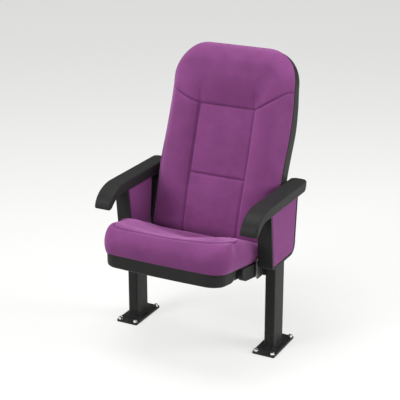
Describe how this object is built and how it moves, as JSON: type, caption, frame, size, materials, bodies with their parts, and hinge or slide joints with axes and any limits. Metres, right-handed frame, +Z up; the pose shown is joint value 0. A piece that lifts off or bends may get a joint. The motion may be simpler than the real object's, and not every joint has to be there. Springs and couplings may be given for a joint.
{
  "type": "auditorium chair",
  "caption": "Upholstered auditorium chair with a tip-up seat, high back, moulded armrests and side boxes, on steel legs that bolt to the floor.",
  "frame": {"origin": "on the floor, midway between the two legs and at the middle of the chair's depth", "axes": "+Z up, the chair faces -Y, +X to the right as seen by someone who faces the chair"},
  "size_m": [0.645, 0.6452, 1.016],
  "materials": {
    "upholstery": "woven",
    "moulded_plastic": "fine grain",
    "painted_steel": "satin",
    "zinc_steel": "zinc plated",
    "plywood": "raw",
    "nylon": "natural"
  },
  "bodies": {
    "frame": {"arm_screw_front_left": "zinc_steel", "arm_screw_front_right": "zinc_steel", "arm_screw_rear_left": "zinc_steel", "arm_screw_rear_right": "zinc_steel", "armrest_left": "moulded_plastic", "armrest_right": "moulded_plastic", "back_board": "plywood", "back_bolt_1_left": "zinc_steel", "back_bolt_1_right": "zinc_steel", "back_bolt_2_left": "zinc_steel", "back_bolt_2_right": "zinc_steel", "back_bracket_left": "painted_steel", "back_bracket_right": "painted_steel", "back_cushion": "upholstery", "back_shell": "moulded_plastic", "back_spacer_1_left": "zinc_steel", "back_spacer_1_right": "zinc_steel", "back_spacer_2_left": "zinc_steel", "back_spacer_2_right": "zinc_steel", "base_plate_left": "painted_steel", "base_plate_right": "painted_steel", "edge_band_left": "moulded_plastic", "edge_band_right": "moulded_plastic", "floor_bolt_front_inner_left": "zinc_steel", "floor_bolt_front_inner_right": "zinc_steel", "floor_bolt_front_outer_left": "zinc_steel", "floor_bolt_front_outer_right": "zinc_steel", "floor_bolt_rear_inner_left": "zinc_steel", "floor_bolt_rear_inner_right": "zinc_steel", "floor_bolt_rear_outer_left": "zinc_steel", "floor_bolt_rear_outer_right": "zinc_steel", "inner_panel_left": "upholstery", "inner_panel_right": "upholstery", "leg_tube_left": "painted_steel", "leg_tube_right": "painted_steel", "outer_panel_left": "upholstery", "outer_panel_right": "upholstery", "pivot_block_left": "painted_steel", "pivot_block_right": "painted_steel", "pivot_pin_left": "zinc_steel", "pivot_pin_right": "zinc_steel", "pivot_plate_left": "zinc_steel", "pivot_plate_right": "zinc_steel", "side_frame_left": "painted_steel", "side_frame_right": "painted_steel", "stop_pin_left": "zinc_steel", "stop_pin_right": "zinc_steel"},
    "seat": {"hinge_arm_left": "moulded_plastic", "hinge_arm_right": "moulded_plastic", "hinge_screw_1_left": "zinc_steel", "hinge_screw_1_right": "zinc_steel", "hinge_screw_2_left": "zinc_steel", "hinge_screw_2_right": "zinc_steel", "pivot_bush_left": "nylon", "pivot_bush_right": "nylon", "seat_board": "plywood", "seat_cushion": "upholstery", "seat_pan": "moulded_plastic"}
  },
  "joints": [
    {"name": "seat_tip_up", "type": "hinge", "parent": "frame", "child": "seat", "pos_m": [0, 0.001, 0.318], "axis": [-1, 0, 0], "range_deg": [0, 52]}
  ]
}
